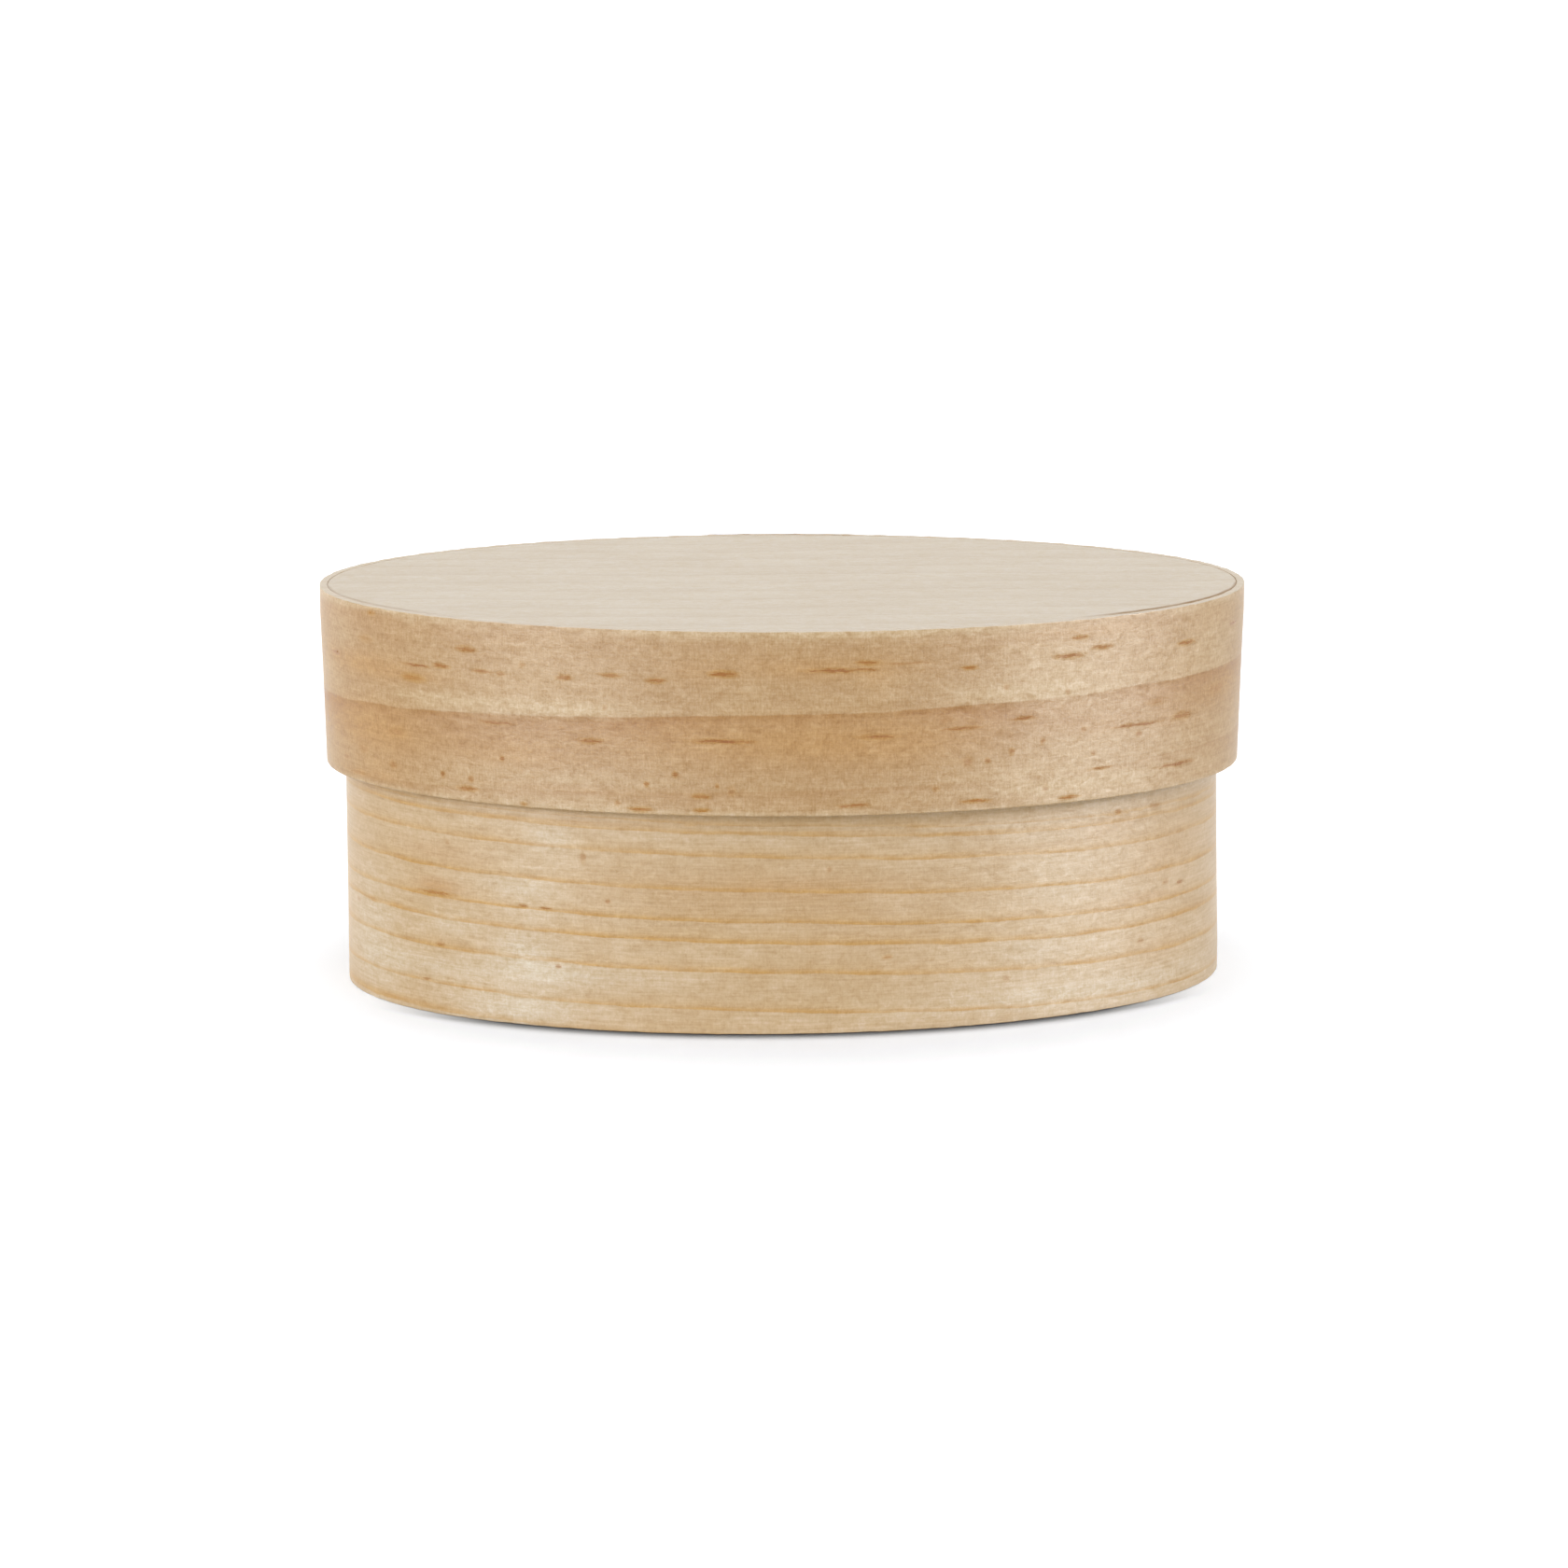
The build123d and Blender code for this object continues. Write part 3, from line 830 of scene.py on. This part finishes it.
wood = {  # what all the woods share
    "warmClouds": (-0.7, 0.7),  # the cloud noise over which early wood turns warmer
    "toneMottle": (0.6, 1.3),  # shares of a cloud's tone where the mottling is least and most
    "ringSheen": 0.06,  # how much smoother ring lines and resin are
    "resinSheen": 0.2,
    "fuzzRough": 0.35,
    "powers": (0.65, 1.0, 1.8),  # of red, green and blue, so that darker spots are more orange
    "relief": {"Fleck": 0.3, "Stroke": 0.2, "Dust": 0.12},  # added to the mottling
    "reliefHeight": 0.03 * mm,
}


def woodMaterial(name, look):
    # pale early wood, darkened by late wood and ring lines, mottled by fibre, then streaked with resin
    material, w = newMaterial(name)
    shader = w.tree.nodes["Principled BSDF"]
    grain, ring, place, size = (w.carried(k) for k in ("grain", "ring", "streakPlace", "streakLook"))
    edge, toneAndLight = (w.carried(k, "Fac") for k in ("edge", "toneAndLight"))
    reach = {"Line": look["line"], "Fade": look["fade"]}
    rings = w.placed(growthRings, {"Ring": ring, "Grain": grain, **reach})
    streak = w.placed(resinStreak, {"Grain": grain, "Place": place, "Look": size})
    fibre = w.placed(rawFibre, {"Grain": grain})
    colour = w.mix(w.between(fibre["Cloud"], *wood["warmClouds"]), look["early"], look["earlyWarm"])
    colour = w.mix(w.times(rings["Shade"], look["shadeShare"], clamp=True), colour, look["late"])
    # clouds above 0 darken the colour and those below 0 pale it: partly the wood's own tone, partly painted
    # sheen, highlight and shade
    toneAndLight = w.times(toneAndLight, w.between(fibre["Mottle"], -1.0, 1.0, *wood["toneMottle"], False))
    colour = w.mix(toneAndLight, colour, look["darkToneAndShade"])
    colour = w.mix(w.times(toneAndLight, -1.0), colour, look["paleToneAndLight"])
    colour = w.mix(w.times(rings["Line"], look["lineShare"], clamp=True), colour, look["lineColour"])
    glow = w.mix(streak["Hue"], look["glowDark"], look["glowOrange"])
    colour = w.mix(w.times(streak["Glow"], look["glowShare"]), colour, glow)
    light = 1.0
    for key, share in look["marks"].items():
        light = w.plus(light, w.times(fibre[key], share))
    channels = {axis: w.math("POWER", light, power) for axis, power in zip("XYZ", wood["powers"])}
    colour = w.scaled(colour, w.add("CombineXYZ", channels).outputs[0])
    resin = w.mix(streak["Hue"], look["resinDark"], look["resinOrange"])
    colour = w.mix(streak["Core"], colour, resin)
    # the edge mask: end grain on the strips' rims, a painted highlight along their feet, and the boards'
    # darkening next to the rim
    colour = w.mix(w.times(edge, look["edgeShare"]), colour, look["edgeColour"])
    matt = w.plus(look["rough"], w.times(fibre["Fleck"], look["roughUneven"]))
    matt = w.plus(matt, w.times(fibre["Mottle"], look["sheenUneven"]))
    matt = w.minus(matt, w.times(rings["Line"], wood["ringSheen"]))
    matt = w.minus(matt, w.times(streak["Glow"], wood["resinSheen"]))
    matt = w.plus(matt, w.times(edge, look["edgeRough"]))
    w.fill(shader, {"Base Color": colour, "Roughness": matt, "Specular IOR Level": look["shine"]})
    w.fill(shader, {"Sheen Weight": look["fuzz"], "Sheen Roughness": wood["fuzzRough"]})
    relief = fibre["Mottle"]
    for key, share in wood["relief"].items():
        relief = w.plus(relief, w.times(fibre[key], share))
    w.bump(relief, look["bump"], wood["reliefHeight"], shader)
    return material


pine = {  # colours from 0-255, shares, and reaches in millimetres
    "early": srgb(198, 169, 127),
    "earlyWarm": srgb(190, 158, 111),
    "late": srgb(189, 148, 82),
    "lineColour": srgb(191, 143, 62),
    "resinDark": srgb(150, 90, 42),
    "resinOrange": srgb(172, 113, 34),
    "glowDark": srgb(180, 131, 72),
    "glowOrange": srgb(190, 141, 56),
    # colours of the darker and paler clouds, which are partly the wood's own tone and partly painted light
    # and shade
    "darkToneAndShade": srgb(182, 136, 72),
    "paleToneAndLight": srgb(208, 191, 162),
    "edgeColour": srgb(184, 168, 142),
    "edgeRough": 0.58,
    "edgeShare": 0.85,
    "line": 0.6,
    "fade": 2.3,
    "shadeShare": 0.7,
    "lineShare": 0.8,
    "glowShare": 0.7,
    "marks": {"Fleck": 0.09, "Stroke": 0.07, "Thread": 0.13, "Dust": 0.04, "Mottle": 0.11},
    "fuzz": 0.06,
    "rough": 0.42,
    "roughUneven": 0.03,
    "sheenUneven": 0.06,
    "shine": 0.42,
    "bump": 0.24,
}
lidLook = {
    "early": srgb(186, 150, 100),
    "earlyWarm": srgb(179, 141, 90),
    "late": srgb(167, 118, 54),
    "lineColour": srgb(160, 115, 54),
    "shine": 0.33,
    "line": 0.7,
    "fade": 10.0,
    # paler clouds on the lid, which also paint sheen and highlights
    "paleToneAndLight": srgb(205, 178, 135),
    "shadeShare": 0.95,
    "lineShare": 0.25,
    "marks": {"Fleck": 0.12, "Stroke": 0.15, "Thread": 0.11, "Dust": 0.075, "Mottle": 0.15},
}
# the board's pale, greyish colours are partly the wood's own and partly a painted reflection of the white
# surroundings, since the board has no shine
boardLookAndReflection = {
    "early": srgb(232, 221, 205),
    "earlyWarm": srgb(229, 217, 200),
    "late": srgb(222, 208, 189),
    "lineColour": srgb(221, 206, 186),
    "shadeShare": 0.5,
    "lineShare": 0.35,
    "line": 0.6,
    "fade": 4.0,
    "marks": {"Fleck": 0.045, "Stroke": 0.01, "Thread": 0.02, "Dust": 0.02, "Mottle": 0.06},
    # the board's darkening next to the rim
    "edgeColour": srgb(146, 100, 30),
    "edgeShare": 0.8,
    "edgeRough": 0.0,
    "rough": 0.9,
    "shine": 0.0,
    "fuzz": 0.0,
}
lidWood = woodMaterial("lidStripWood", {**pine, **lidLook})
baseWood = woodMaterial("baseStripWood", pine)
boardWoodAndReflection = woodMaterial("boardWoodAndReflection", {**pine, **boardLookAndReflection})


glue = {
    "scale": 900.0,  # of the noise, for each metre
    "detail": 3.0,
    "span": (0.35, 0.65),  # noise values of the darkest and the lightest glue
    "dark": srgb(122, 96, 66),
    "light": srgb(158, 130, 94),
    "rough": (0.35, 0.55),
    "bump": 0.4,
    "reliefHeight": 0.05 * mm,
}


def glueMaterial():
    # dried wood glue, clouded between two browns by noise on Object coordinates
    material, w = newMaterial("driedGlue")
    shader = w.tree.nodes["Principled BSDF"]
    place = w.add("TexCoord").outputs["Object"]
    cloud = w.between(w.noise(place, glue["scale"], glue["detail"]), *glue["span"])
    colour, matt = w.mix(cloud, glue["dark"], glue["light"]), w.between(cloud, 0.0, 1.0, *glue["rough"])
    w.fill(shader, {"Base Color": colour, "Roughness": matt})
    w.bump(cloud, glue["bump"], glue["reliefHeight"], shader)
    return material


driedGlue = glueMaterial()
for node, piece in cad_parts.items():
    if node.endswith("_glue"):
        for place in piece.material_slots:
            place.material = driedGlue
print("materials made")

# Pieces


lidStreakSets = {
    "outer": np.concatenate([lidStreaks, scatteredStreaks(3, lidHeight, 60, clear=76)]),
    "inner": scatteredStreaks(4, lidHeight, 60, clear=0),
}
baseStreakSets = {
    "outer": np.concatenate([baseStreaks, scatteredStreaks(6, baseHeight, 26, clear=76, scale=0.6)]),
    "inner": scatteredStreaks(7, baseHeight, 40, clear=0, scale=0.6),
}
lidPiece = buildStrip("lid_strip", lidStrip, lidRingPlace, lidStreakSets, lidToneAndLightClouds)
basePiece = buildStrip("base_strip", baseStrip, baseRingPlace, baseStreakSets, baseToneAndLightClouds)
dressed = (
    (lidPiece, "lid", "lid_strip_wood", lidWood),
    (basePiece, "base", "base_strip_wood", baseWood),
    (buildBoard("lid_top_board", lidBoard), "lid", "board_wood", boardWoodAndReflection),
    (buildBoard("base_bottom_board", baseBoard), "base", "board_wood", boardWoodAndReflection),
)
for piece, body, slot, material in dressed:
    piece.data.materials.append(material)
    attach(piece, body)
    print("built", piece.name, len(piece.data.polygons), "faces")

# Floor, light and camera

stage = {
    "floorHalf": 6.0,
    "floorColour": srgb(227, 231, 237),
    "floorGlow": (0.12, 0.62),  # near the box and far from it, so that the lit floor shows white
    "glowReach": (0.03, 0.085),  # metres
    "shadowColour": srgb(20, 16, 14),
    "contact": 4.2 * mm,  # reach of the painted contact shadow where the box meets the floor
    "contactOpen": (0.42, 0.95),  # how open the floor is where that line is darkest and where it ends
    "contactDark": 0.22,
    "contactEnds": (36 * mm, 56 * mm),  # it fades out over these distances from the middle, along X
    "contactSamples": 16,
    "halo": 32 * mm,  # reach of the faint painted shade round it
    "haloOpen": (0.55, 1.0),
    "haloDark": (0.925, 0.86),  # in front of the middle and of the ends
    "haloEnds": (15 * mm, 45 * mm),  # where the middle stops and the ends begin
    "haloSamples": 6,
    "worldLight": 0.74,
    "lampAim": (0, 0, 25 * mm),
    "lamps": (  # place, width and height in metres, watts, and whether it lights more than the shine
        ((-0.83, -0.78, 0.50), (0.35, 0.3), 122.0, False),
        ((0.9, -0.52, 0.46), (0.38, 0.3), 168.0, False),
        ((-0.85, 0.5, 0.42), (0.6, 0.4), 28.0, False),
        ((0.0, -1.0, 0.35), (1.6, 0.4), 3.1, True),
        ((-1.1, 0.22, 0.35), (0.8, 0.7), 3.8, True),
        ((1.1, 0.25, 0.35), (0.8, 0.7), 1.9, True),
    ),
}


def whiteRays(w):  # 1 where the camera, a reflection or a see-through ray looks
    path = w.add("LightPath").outputs
    seen = w.math("MAXIMUM", path["Is Camera Ray"], path["Is Glossy Ray"])
    return w.math("MAXIMUM", seen, path["Is Transmission Ray"])


def openness(w, reach, samples):  # 1 where nothing stands within reach, less the more is hidden
    return w.add("AmbientOcclusion", {"Distance": reach}, samples=samples).outputs["AO"]


def floorMaterial():
    # white by its own glow, with a painted shadow where the box stands on it and, faintly, round the box,
    # darkened by ambient occlusion for camera and reflection rays
    material, w = newMaterial("paleFloor")
    w.tree.nodes.remove(w.tree.nodes["Principled BSDF"])
    place = w.add("TexCoord").outputs["Object"]
    ends = w.math("ABSOLUTE", w.parts(place)[0])
    contact = openness(w, stage["contact"], stage["contactSamples"])
    least = w.between(ends, *stage["contactEnds"], stage["contactDark"], 1.0)
    shade = w.math("MAXIMUM", w.between(contact, *stage["contactOpen"]), least)
    around = openness(w, stage["halo"], stage["haloSamples"])
    dark = w.between(ends, *stage["haloEnds"], *stage["haloDark"])
    shade = w.times(shade, w.between(around, *stage["haloOpen"], dark, 1.0, False))
    white = whiteRays(w)
    shade = w.minus(1.0, w.times(white, w.minus(1.0, shade)))
    tint = w.mix(shade, stage["shadowColour"], stage["floorColour"])
    matt = w.add("BsdfDiffuse", {"Color": tint}).outputs[0]
    away = w.add("VectorMath", {0: place}, operation="LENGTH").outputs["Value"]
    glow = w.between(away, *stage["glowReach"], *stage["floorGlow"])
    glow = w.add("Emission", {"Strength": w.times(w.times(white, glow), shade)}).outputs[0]
    both = w.add("AddShader", {0: matt, 1: glow}).outputs[0]
    w.fill(w.tree.nodes["Material Output"], {"Surface": both})
    return material


def buildFloor():
    half = stage["floorHalf"]
    corners = [(x * half, y * half, 0) for x, y in ((-1, -1), (1, -1), (1, 1), (-1, 1))]
    mesh = bpy.data.meshes.new("floor")
    mesh.from_pydata(corners, [], [(0, 1, 2, 3)])
    mesh.materials.append(floorMaterial())
    floor = bpy.data.objects.new("floor", mesh)
    bpy.context.scene.collection.objects.link(floor)


def buildLights():
    world = bpy.data.worlds.new("whiteRoom")
    world.use_nodes = True
    bpy.context.scene.world = world
    w = Wiring(world.node_tree)
    strength = w.between(whiteRays(w), 0.0, 1.0, stage["worldLight"], 1.0, False)
    w.fill(w.tree.nodes["Background"], {"Strength": strength, "Color": (1, 1, 1, 1)})
    for i, (place, size, watts, plain) in enumerate(stage["lamps"]):
        lamp = bpy.data.lights.new(f"softLamp{i + 1}", "AREA")
        lamp.shape, lamp.size, lamp.size_y, lamp.energy = "RECTANGLE", *size, watts
        holder = bpy.data.objects.new(lamp.name, lamp)
        holder.visible_diffuse = plain
        holder.location = place
        holder.rotation_euler = aimed(np.subtract(stage["lampAim"], place))
        bpy.context.scene.collection.objects.link(holder)


def aimed(direction):  # turns that point a lamp's -Z along a direction, with its X kept level
    x, y, z = direction
    return math.atan2(math.hypot(x, y), -z), 0, math.atan2(y, x) - math.pi / 2


view = {
    "distance": 664.8 * mm,
    "elevation": 11.906,  # degrees above the floor
    "turn": -4.432,  # degrees round the box from straight in front
    "aside": -0.124 * mm,  # of the aim, across the view
    "aimHeight": 24.72 * mm,
    "focalPixels": 5437.4,  # at the photograph's 1680 pixels across
    "pixels": 1680,
    "sensor": 36.0,
    "clip": (0.01, 20),  # metres
}


def placeCamera():
    lens = bpy.data.cameras.new("photoLens")
    lens.sensor_width = view["sensor"]
    lens.lens = view["focalPixels"] / view["pixels"] * view["sensor"]
    lens.clip_start, lens.clip_end = view["clip"]
    camera = bpy.data.objects.new("camera", lens)
    elevation = math.radians(view["elevation"])
    x, y = turned(view["aside"], -view["distance"] * math.cos(elevation), view["turn"])
    camera.location = (x, y, view["aimHeight"] + view["distance"] * math.sin(elevation))
    camera.rotation_euler = (math.pi / 2 - elevation, 0, math.radians(view["turn"]))
    bpy.context.scene.collection.objects.link(camera)
    bpy.context.scene.camera = camera


buildFloor()
buildLights()
placeCamera()
bpy.context.scene.view_settings.view_transform = "Standard"
print("stage and camera placed")
